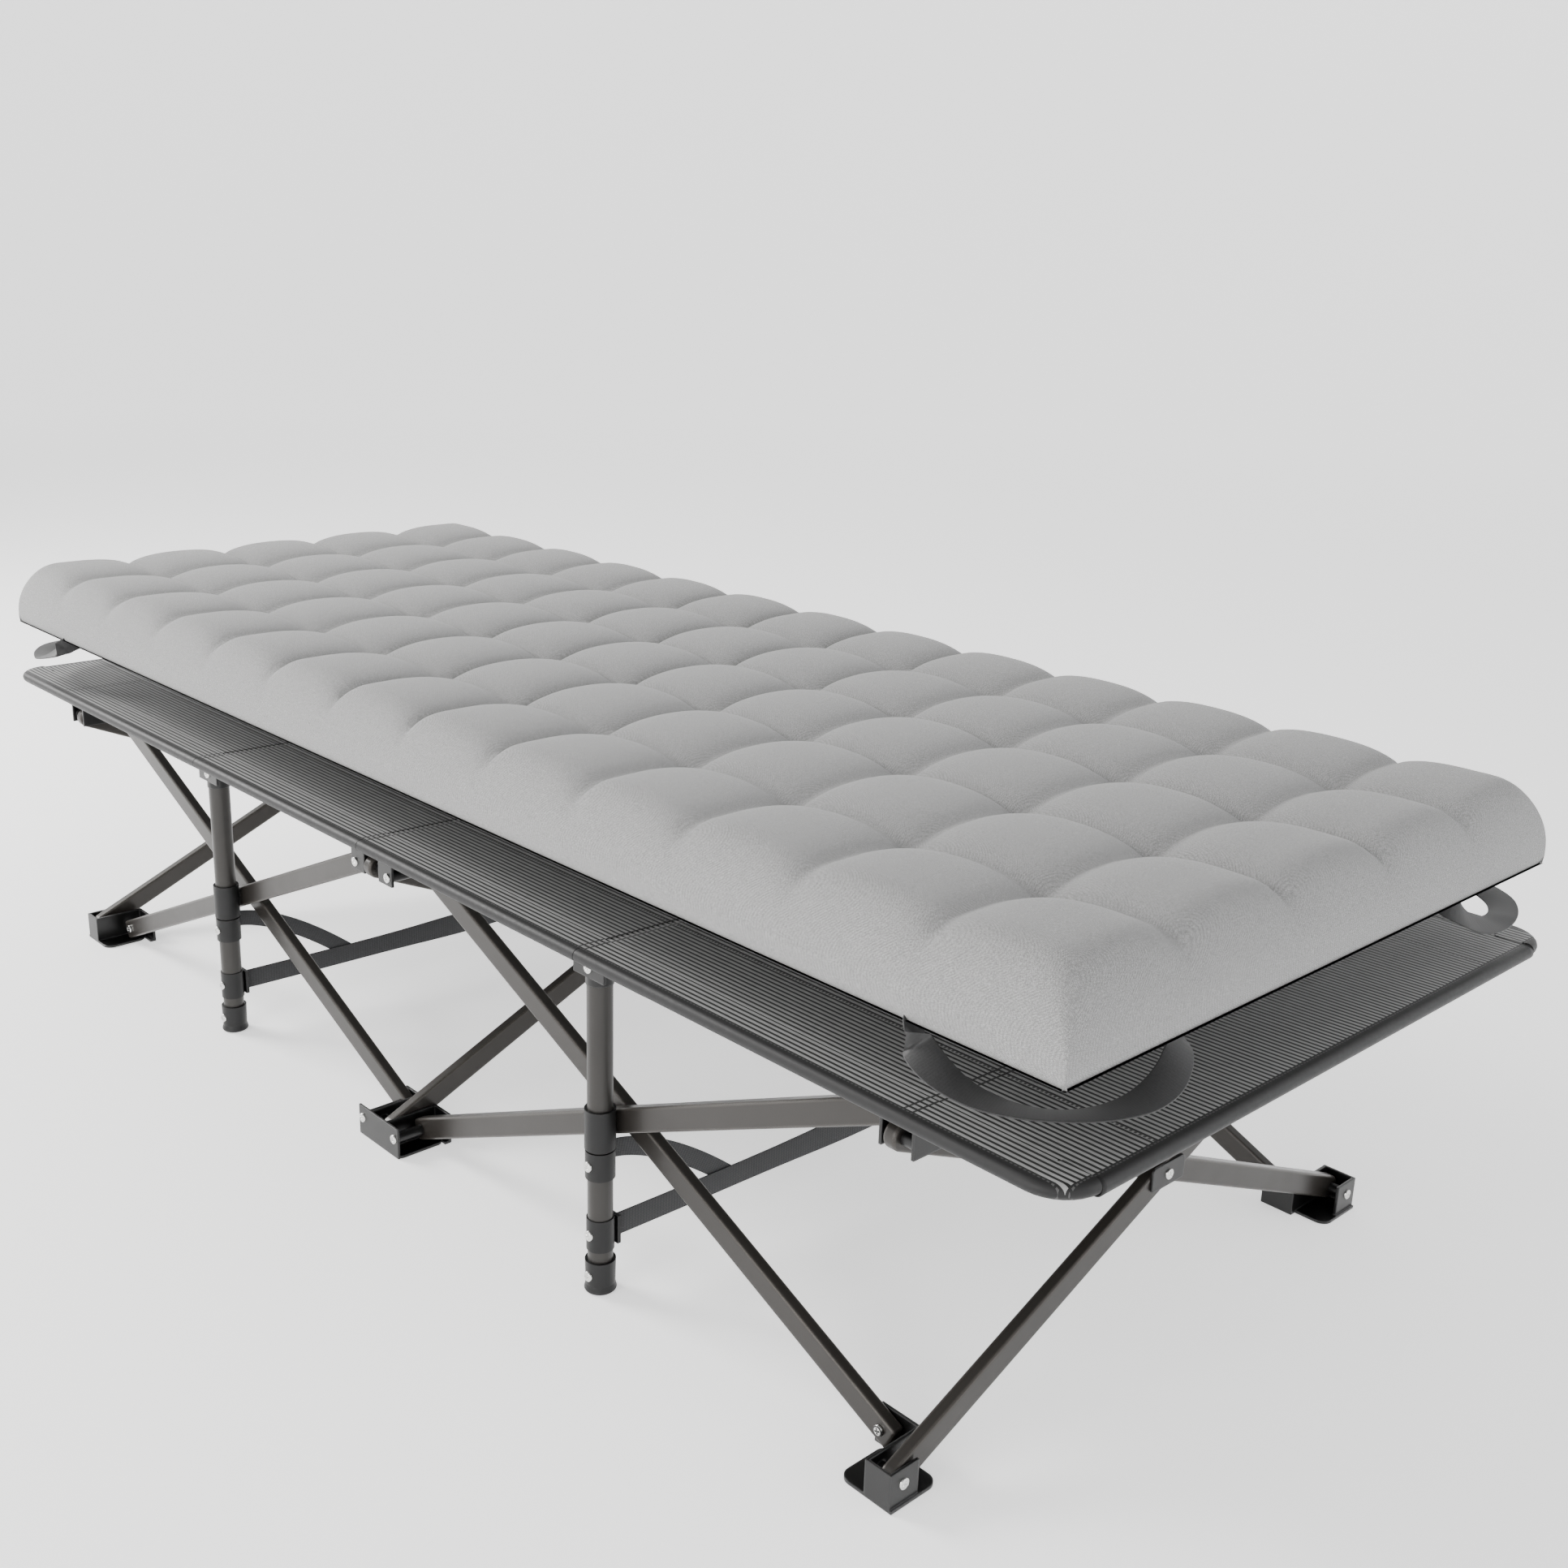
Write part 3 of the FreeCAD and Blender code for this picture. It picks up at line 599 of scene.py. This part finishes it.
def dome(x, half, cells):
    """Rise across one way: 0 on every seam, 1 in the middle of every cell and out to the border."""
    cell = 2 * half / cells
    share = (x + half) / cell
    part = np.abs(2 * (share - np.floor(share)) - 1)
    rise = 1 - part ** 2.3
    return np.where(np.abs(x) > half - cell / 2, 1.0, rise)


def mattress_points():
    """Top and sides of the case as one grid.

    Heights of both rolls meet in a soft minimum, so the corners keep an upright crease. Cells rise
    as puff sqrt(dx dy) + tuft (dx + dy - dx dy), with dx and dy the rises across both ways.
    """
    half_x, half_y = pad_high.x, pad_high.y
    place_x, level_x = side_roll(half_x, int(2 * half_x / PAD_STEP))
    place_y, level_y = side_roll(half_y, int(2 * half_y / PAD_STEP))
    x, y = np.meshgrid(place_x, place_y, indexing="ij")
    a, b = np.maximum(level_x, 1e-4)[:, None], np.maximum(level_y, 1e-4)[None, :]
    level = (a ** -3 + b ** -3 - 1) ** (-1 / 3)
    level[[0, -1]] = 0
    level[:, [0, -1]] = 0
    dx, dy = dome(x, half_x, PAD_CELLS[0]), dome(y, half_y, PAD_CELLS[1])
    puff = PUFF * np.sqrt(dx * dy) + TUFT * (dx + dy - dx * dy)
    fade = np.clip((level - 0.45) / 0.5, 0, 1) ** 1.3
    low, tall = pad_low.z, pad_high.z + CROWN - pad_low.z
    z = low + tall * level - (PUFF + TUFT - puff) * fade
    seam = 1 - np.clip(np.sqrt(dx * dy) / 0.5, 0, 1)
    return np.stack([x, y, z], -1), seam * fade


def mattress():
    """Top grid and bottom grid joined round the rim into one closed case.

    Also gives how firmly each point is held: the seams and the rim fully, the middles not at all.
    """
    top, seam = mattress_points()
    rows, cols = top.shape[:2]
    bottom = top.copy()
    bottom[..., 2] = pad_low.z
    index = np.arange(rows * cols).reshape(rows, cols)
    rim = np.zeros((rows, cols), bool)
    rim[[0, -1]] = True
    rim[:, [0, -1]] = True
    under = np.where(rim, index, index + rows * cols)
    quads_top = np.stack([index[:-1, :-1], index[1:, :-1], index[1:, 1:], index[:-1, 1:]], -1)
    quads_low = np.stack([under[:-1, :-1], under[:-1, 1:], under[1:, 1:], under[1:, :-1]], -1)
    points = np.r_[top.reshape(-1, 3), bottom.reshape(-1, 3)]
    faces = np.r_[quads_top.reshape(-1, 4), quads_low.reshape(-1, 4)]
    used = np.unique(faces)
    fresh = np.full(len(points), -1)
    fresh[used] = np.arange(len(used))
    mesh = bpy.data.meshes.new("mattress_cover")
    mesh.from_pydata(points[used].tolist(), [], fresh[faces].tolist())
    mesh.polygons.foreach_set("use_smooth", np.ones(len(mesh.polygons), bool))
    piece = bpy.data.objects.new("mattress_cover", mesh)
    bpy.context.scene.collection.objects.link(piece)
    hold = np.ones(len(points))
    hold[:rows * cols] = np.maximum(seam, rim * 1.0).ravel()
    return piece, hold[used], points[used]


cover, cover_hold, cover_rest = mattress()
print("mattress", len(cover.data.polygons), "faces,", PAD_CELLS[0] * PAD_CELLS[1], "cells")

# %% [markdown]
# The cloth run is short: a little pressure, no gravity, and the tufts and bottom held by a pin group.
# Afterwards no point may have moved further than the cap, which keeps the cover in its own space.

# %% Mattress simulation
CLOTH_FRAMES = 14
CLOTH_CAP = 0.012


def inflate(piece, hold, rest):
    """Run pressure cloth on the piece, read the points back and limit how far each one moved."""
    group = piece.vertex_groups.new(name="hold")
    for weight in (0.25, 0.5, 0.75, 1.0):
        chosen = np.nonzero(np.abs(hold - weight) <= 0.125)[0]
        group.add(chosen.tolist(), weight, "REPLACE")
    cloth = piece.modifiers.new("cloth", "CLOTH").settings
    cloth.quality = 4
    cloth.mass = 0.25
    cloth.tension_stiffness = cloth.compression_stiffness = 12
    cloth.shear_stiffness = 6
    cloth.bending_stiffness = 0.6
    cloth.use_pressure = True
    cloth.uniform_pressure_force = 3.0
    cloth.vertex_group_mass = "hold"
    cloth.effector_weights.gravity = 0
    scene = bpy.context.scene
    for number in range(1, CLOTH_FRAMES + 1):
        scene.frame_set(number)
    shaped = piece.evaluated_get(bpy.context.evaluated_depsgraph_get()).data
    moved = np.zeros(len(shaped.vertices) * 3)
    shaped.vertices.foreach_get("co", moved)
    shift = moved.reshape(-1, 3) - rest
    length = np.linalg.norm(shift, axis=1, keepdims=True)
    shift *= np.minimum(1, CLOTH_CAP / np.maximum(length, 1e-9))
    scene.frame_set(1)
    piece.modifiers.clear()
    piece.vertex_groups.clear()
    piece.data.vertices.foreach_set("co", (rest + shift).ravel())
    piece.data.update()
    print("cloth moved up to", round(float(length.max()) * 1000, 1), "mm")


inflate(cover, cover_hold, cover_rest)
sharpen(cover, 62)
cover.data.materials.append(mattress_cloth)
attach(cover, "mattress")
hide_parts("mattress")

# %% [markdown]
# ## Sling
# The sling is one cloth on the real cot, with a sleeve sewn along each long edge for the rails. The
# frame folds at the legs and in the middle, so here it is four panels, and each panel is a flat
# sheet carried by the right rail, plus a sleeve on each rail. Sleeves are swept teardrops.

# %% Sling sleeves
HEM_R = (SLING_Z - HEM_LOW) / 2
HEM_Y = SLING_Y - HEM_R
HEM_Z = (SLING_Z + HEM_LOW) / 2
SEW_Y = SLING_Y - 0.040
CORNER_R = 0.040
CORNER_STEPS = 8
CLOTH_THICK = 0.0012


def teardrop(reach):
    """Outline round the rail: out over the top, round the hem, and back underneath to the seam.

    a runs outwards from the hem's centre, b upwards; reach is how far in the seam lies.
    """
    turn = np.linspace(math.radians(82), math.radians(-100), 15)
    hem = np.stack([HEM_R * np.cos(turn), HEM_R * np.sin(turn)], 1)
    blend = np.linspace(0, 1, 6)[:, None]
    top_seam = np.array([[-reach, HEM_R - 0.0008]])
    low_seam = np.array([[-reach, HEM_R - 0.0036]])
    over = top_seam + (hem[:1] - top_seam) * blend
    below = hem[-1:] + (low_seam - hem[-1:]) * blend
    return np.r_[over[:-1], hem, below[1:]]


def hem_path(start, stop, side, end):
    """Path along the rail; at the bed's end it turns the corner as a quarter circle."""
    straight = np.linspace(start, stop, 24)
    path = np.stack([straight, np.full(24, side * HEM_Y), np.full(24, HEM_Z)], 1)
    if not end:
        return path
    radius = CORNER_R - HEM_R
    turn = np.linspace(0, math.pi / 2, CORNER_STEPS + 1)[1:]
    arc = np.stack([stop + end * radius * np.sin(turn),
                    side * (HEM_Y - radius + radius * np.cos(turn)), np.full(CORNER_STEPS, HEM_Z)], 1)
    return np.r_[path, arc]


def sleeve(name, start, stop, side, end):
    """The teardrop carried along the hem, drawn in round the corner so that it does not cross itself."""
    path = hem_path(start, stop, side, end)
    along = np.gradient(path, axis=0)
    along /= np.linalg.norm(along, axis=1, keepdims=True)
    out = np.stack([along[:, 1], -along[:, 0], np.zeros(len(path))], 1)
    out *= np.sign(out[0, 1]) * side
    reach = np.full(len(path), HEM_Y - SEW_Y)
    if end:
        reach[-CORNER_STEPS:] = CORNER_R - HEM_R - 0.002
    outlines = np.stack([teardrop(r) for r in reach])
    points = path[:, None] + outlines[..., :1] * out[:, None]
    points[..., 2] += outlines[..., 1]
    piece = sharpen(outward(sheet_mesh(name, points, tube=True)))
    piece.data.materials.append(sling_stripe)
    return piece


sleeves = []
GAP = 0.0004             # between a sleeve and its neighbour
for side_name, side in SIDES.items():
    for end_name, end in ENDS.items():
        corner = end * (SLING_X - CORNER_R)
        long_piece = sleeve(f"sleeve_long_{end_name}_{side_name}", end * (LEG_X + GAP), corner, side, end)
        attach(long_piece, f"long_rail_{end_name}_{side_name}")
        short_piece = sleeve(f"sleeve_short_{end_name}_{side_name}", end * GAP, end * (LEG_X - GAP), side, 0)
        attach(short_piece, f"short_rail_{end_name}_{side_name}")
        sleeves += [long_piece, short_piece]
print("sleeves", len(sleeves), "hem radius", round(HEM_R * 1000, 1), "mm")

# %% [markdown]
# The panels are sheets with hardly any sag, given their thickness by Solidify. The end panels turn
# down round a hem of their own. As the frame folds, a panel moves with the right rail.

# %% Sling panels
PANEL_SAG = 0.004
PANEL_ROWS = 60
TUCK = 0.022              # how far the end hem runs back underneath


def panel(name, start, stop, end):
    """A flat grid between the sleeves; at the bed's end it rolls round the hem in a half circle.

    It sags by PANEL_SAG (1 - (y / SEW_Y)^2), less and less over the last 150 mm before the end hem.
    """
    x = np.linspace(start, stop, PANEL_ROWS)
    y = np.linspace(-SEW_Y - 0.006, SEW_Y + 0.006, 63)
    z = np.zeros(PANEL_ROWS)
    if end:
        hem_x = end * (SLING_X - HEM_R)
        turn = np.linspace(0, math.pi * 1.05, 18)[1:]
        x = np.r_[np.linspace(start, hem_x, PANEL_ROWS), hem_x + end * HEM_R * np.sin(turn),
                  np.linspace(hem_x, hem_x - end * TUCK, 5)[1:]]
        z = np.r_[z, -HEM_R + HEM_R * np.cos(turn), np.linspace(-2 * HEM_R, -0.003, 5)[1:]]
    grid_x, grid_y = np.meshgrid(x, y, indexing="ij")
    sag = PANEL_SAG * np.clip(1 - (grid_y / SEW_Y) ** 2, 0, 1)
    if end:
        sag = sag * np.clip((SLING_X - HEM_R - np.abs(grid_x)) / 0.15, 0, 1)
    grid_z = SLING_Z - 0.0020 + z[:, None] - sag
    if end:
        grid_y = grid_y.copy()
        rolled = np.arange(len(x)) >= PANEL_ROWS - 1
        limit = SLING_Y - CORNER_R
        grid_y[rolled] = np.clip(grid_y[rolled], -limit, limit)
    piece = sheet_mesh(name, np.stack([grid_x, grid_y, grid_z], -1))
    solid = piece.modifiers.new("solidify", "SOLIDIFY")
    solid.thickness = CLOTH_THICK
    solid.offset = 0.0
    piece.data.materials.append(sling_stripe)
    return piece


for end_name, end in ENDS.items():
    for kind, start, stop, body in (("end", end * LEG_X, end * SLING_X, "long_rail"),
                                    ("mid", 0.0, end * LEG_X, "short_rail")):
        cloth = panel(f"sling_panel_{end_name}_{kind}", start, stop, end if kind == "end" else 0)
        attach(cloth, f"{body}_{end_name}_right")
        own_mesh(cloth)
        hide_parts(f"sling_{end_name}_{kind}")
print("panels", 4)

# %% [markdown]
# ## Corner loops
# Four flat elastic bands hang under the mattress corners, to be slipped over the sling's corners.
# Each leaves the long side, drops a little, swings round below the corner and comes up at the short
# side. The band stands upright at its ends and lies flatter below the corner.

# %% Corner loops
LOOP_WIDE, LOOP_THICK = 0.027, 0.0018
LOOP_TWIST = math.radians(100)   # how far the band has turned over at its lowest place
LOOP_STEPS = 72
# Offsets (x, y, z) of the loop from the mattress corner, from the long side round to the short one
LOOP_ROUTE = [(-0.162, -0.036, 0.008), (-0.146, -0.006, -0.010), (-0.110, 0.004, -0.026),
              (-0.078, -0.002, -0.036), (-0.046, -0.014, -0.038),
              (-0.021, -0.034, -0.038), (-0.004, -0.064, -0.038), (0.002, -0.102, -0.036),
              (-0.002, -0.136, -0.026), (-0.012, -0.156, -0.010), (-0.040, -0.164, 0.008)]


def smooth_path(points, count):
    """A path through the points: each coordinate is a cubic of the distance along the points."""
    points = np.asarray(points, float)
    step = np.r_[0, np.cumsum(np.linalg.norm(np.diff(points, axis=0), axis=1))]
    slope = np.gradient(points, step, axis=0)
    where = np.linspace(0, step[-1], count)
    k = np.clip(np.searchsorted(step, where, side="right") - 1, 0, len(points) - 2)
    span = (step[k + 1] - step[k])[:, None]
    t = ((where - step[k]) / span[:, 0])[:, None]
    first = (2 * t ** 3 - 3 * t ** 2 + 1) * points[k] + (t ** 3 - 2 * t ** 2 + t) * span * slope[k]
    last = (3 * t ** 2 - 2 * t ** 3) * points[k + 1] + (t ** 3 - t ** 2) * span * slope[k + 1]
    return first + last


def corner_loop(name, side, end):
    """A band that stands upright at both ends and turns flat where it passes below the corner.

    Its width points along cos(b) up + sin(b) inwards, with b = twist (1 - |2s - 1|^1.8).
    """
    corner = np.array([pad_high.x, pad_high.y, pad_low.z])
    path = smooth_path(corner + np.array(LOOP_ROUTE), LOOP_STEPS)
    share = np.linspace(0, 1, LOOP_STEPS)
    twist = LOOP_TWIST * (1 - np.abs(2 * share - 1) ** 1.8)
    along = np.gradient(path, axis=0)
    inward = np.cross(along, [0, 0, 1.0])
    inward *= np.sign((inward[:, :2] * (corner[:2] - 2 * path[:, :2])).sum(1))[:, None]
    inward /= np.linalg.norm(inward, axis=1, keepdims=True)
    tall = np.sin(twist)[:, None] * inward
    tall[:, 2] += np.cos(twist)
    mirror = np.array([end, side, 1.0])
    band = outward(sweep(name, path * mirror, tall * mirror, rounded_band(LOOP_WIDE, LOOP_THICK)))
    band.data.materials.append(loop_elastic)
    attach(band, "mattress")
    return band


loops = [corner_loop(f"corner_loop_{e}_{s}", SIDES[s], ENDS[e]) for s in SIDES for e in ENDS]
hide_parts("corner_loops")
print("corner loops", len(loops))

# %% [markdown]
# ## Cross straps
# A webbing band ties each pair of legs near the floor, and a strap slants down to it from below each
# slider, so the legs cannot spread. Both are flat sweeps carried by the right leg.

# %% Cross straps
STRAP_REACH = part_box("cross_strap_front")[1].y + 0.004
slider_low, slider_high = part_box("slider_front_right")
SLIDER_Z = (slider_low.z + slider_high.z) / 2
STRAP_THICK = 0.0016
BAND_Z = 0.063               # height of the level band
BAND_WIDE, SLANT_WIDE = 0.025, 0.020
TIE_Z = SLIDER_Z - 0.029     # the slanting straps start below the crossing of the side arms
JOIN_Y = 0.178               # where a slanting strap meets the level band, from the middle


def cross_strap(name, x, end):
    """The level band, and two slanting bands that come down to it in soft curves.

    The level band sags as 4 mm (1 - t^2); a slanting one drops as s^1.5 on its way inwards.
    """
    t = np.linspace(-1, 1, 41)
    grow = 1 + 0.22 * np.exp(-(t / 0.25) ** 2)
    path = np.stack([np.full(41, x), t * STRAP_REACH, BAND_Z - 0.004 * (1 - t ** 2)], 1)
    outline = np.stack([rounded_band(BAND_WIDE * g, STRAP_THICK) for g in grow])
    pieces = [sweep(name, path, (0, 0, 1), outline)]
    for side_name, side in SIDES.items():
        s = np.linspace(0, 1, 33)
        y = side * (STRAP_REACH * (1 - s) + JOIN_Y * s)
        z = TIE_Z + (BAND_Z - 0.002 - TIE_Z) * s ** 1.5
        slant = np.stack([np.full(33, x - 1.1 * STRAP_THICK), y, z], 1)
        band = rounded_band(SLANT_WIDE, STRAP_THICK)
        pieces.append(sweep(f"{name}_slant_{side_name}", slant, (0, 0, 1), band))
    for piece in pieces:
        outward(piece)
        piece.data.materials.append(strap_webbing)
        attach(piece, f"leg_{end}_right")
        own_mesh(piece)
    return pieces


for end_name, end in ENDS.items():
    bands = cross_strap(f"cross_webbing_{end_name}", end * LEG_X, end_name)
    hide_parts(f"cross_strap_{end_name}")
print("cross straps ready")

# %% [markdown]
# ## Screws
# The brackets carry pan-head cross-recess screws. One head is a disc of rings whose height is a
# low dome less a cross-shaped sink; it is repeated where the brackets have their pivots.

# %% Screw heads
HEAD_R, HEAD_TALL = 0.0052, 0.0031
CROSS_DEEP = 0.0011


def screw_points():
    """Rings of a dome: z = tall (1 - 0.42 (r / R)^2.4), less a sink inside the arms of a cross."""
    ring = np.array([0.0, 0.16, 0.30, 0.42, 0.52, 0.62, 0.80, 0.93, 1.0, 1.0])
    turn = np.linspace(0, 2 * math.pi, 40, endpoint=False)
    r, a = np.meshgrid(ring * HEAD_R, turn, indexing="ij")
    x, y = r * np.cos(a), r * np.sin(a)
    z = HEAD_TALL * (1 - 0.42 * (r / HEAD_R) ** 2.4)
    arm_half, arm_reach = HEAD_R * 0.17, HEAD_R * 0.56
    slot_a = (np.abs(x) < arm_half) & (np.abs(y) < arm_reach)
    slot_b = (np.abs(y) < arm_half) & (np.abs(x) < arm_reach)
    z = z - CROSS_DEEP * (slot_a | slot_b)
    z[-1] = 0.0
    return np.stack([x, y, z], -1)


HEAD_POINTS = screw_points()


def screws(name, body, places):
    """One piece with a head at each (point, outward direction), each turned a little further."""
    grids = []
    for point, out in places:
        out = np.array(out, float)
        helper = np.array([0, 0, 1.0]) if abs(out[2]) < 0.9 else np.array([1.0, 0, 0])
        across = np.cross(helper, out)
        up = np.cross(out, across)
        turn = math.radians(17 + 53 * len(grids))
        first = math.cos(turn) * across + math.sin(turn) * up
        second = np.cross(out, first)
        local = HEAD_POINTS @ np.stack([first, second, out])
        grids.append(local + np.array(point))
    rows, cols = HEAD_POINTS.shape[:2]
    faces = grid_quads(rows, cols, around=True)
    points = np.concatenate([g.reshape(-1, 3) for g in grids])
    all_faces = np.concatenate([faces + i * rows * cols for i in range(len(grids))])
    mesh = bpy.data.meshes.new(name)
    mesh.from_pydata(points.tolist(), [], all_faces.tolist())
    mesh.polygons.foreach_set("use_smooth", np.ones(len(mesh.polygons), bool))
    mesh.materials.append(screw_steel)
    piece = bpy.data.objects.new(name, mesh)
    bpy.context.scene.collection.objects.link(piece)
    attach(outward(piece), body)
    return piece


turns = {joint["name"]: joint.get("pos_m") for joint in frame["record"]["behaviour"]["joints"]}
NEAR_PIVOT, _, PIVOT_LOW = turns["fold"]
FAR_PIVOT, _, PIVOT_HIGH = turns["level_hub_front_right"]
WIDE_PIVOT = abs(turns["level_hub_front_left"][1])
OUTER_FACE = -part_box("arm_right_front_outer")[0].y + 0.0005
INNER_FACE = -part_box("arm_right_front_inner")[0].y + 0.0005
HUB_FACE = 0.3605        # outer face of the middle hubs' plates
PLATE_LIP = 0.002        # the foot plate stands out this far past the wall
heads = 0
for side_name, side in SIDES.items():
    for end_name, end in (("back", -1), ("mid", 0), ("front", 1)):
        for level, z in (("foot", PIVOT_LOW), ("hub", PIVOT_HIGH)):
            body = f"{level}_{end_name}_{side_name}"
            low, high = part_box(body)
            if end == 0:
                face = side * max(abs(low.y), abs(high.y)) if level == "foot" else side * HUB_FACE
                spots = [((way * NEAR_PIVOT, face, z), (0, side, 0)) for way in (-1, 1)]
            else:
                outer_layer = (end < 0) if level == "foot" else (end > 0)
                face = side * (OUTER_FACE if outer_layer else INNER_FACE)
                spots = [((end * FAR_PIVOT, face, z), (0, side, 0))]
                if level == "foot":
                    wall = max(abs(low.x), abs(high.x)) - PLATE_LIP
                    spots.append(((end * wall, side * WIDE_PIVOT, z), (end, 0, 0)))
            screws("screws_" + body, body, spots)
            heads += len(spots)
print("bracket screws", heads)

# %% [markdown]
# The legs carry screws on their outer faces: one each on the top bracket, the stop, the strap collar
# and the cap. The clip over the end crossing has one in its middle.

# %% Leg and clip screws
TUBE_FACE = LEG_Y + LEG_R
# Height, and distance of the outer face from the middle: top bracket, stop, strap collar, cap
LEG_SCREWS = ((0.344, 0.3603), (0.1385, TUBE_FACE + 0.0022), (0.063, TUBE_FACE + 0.0012),
              (0.0185, TUBE_FACE + 0.0023))
HEAD_SUNK = 0.0004       # each head starts this far inside its face
for side_name, side in SIDES.items():
    for end_name, end in ENDS.items():
        x = end * LEG_X
        spots = [((x, side * (face - HEAD_SUNK), z), (0, side, 0)) for z, face in LEG_SCREWS]
        screws(f"screws_leg_{end_name}_{side_name}", f"leg_{end_name}_{side_name}", spots)
for end_name, end in ENDS.items():
    low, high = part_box(f"cross_clip_{end_name}")
    face = end * max(abs(low.x), abs(high.x))
    middle = (low.z + high.z) / 2
    screws(f"screw_clip_{end_name}", f"arm_{end_name}_cross_right", [((face, 0, middle), (end, 0, 0))])
print("leg and clip screws ready")
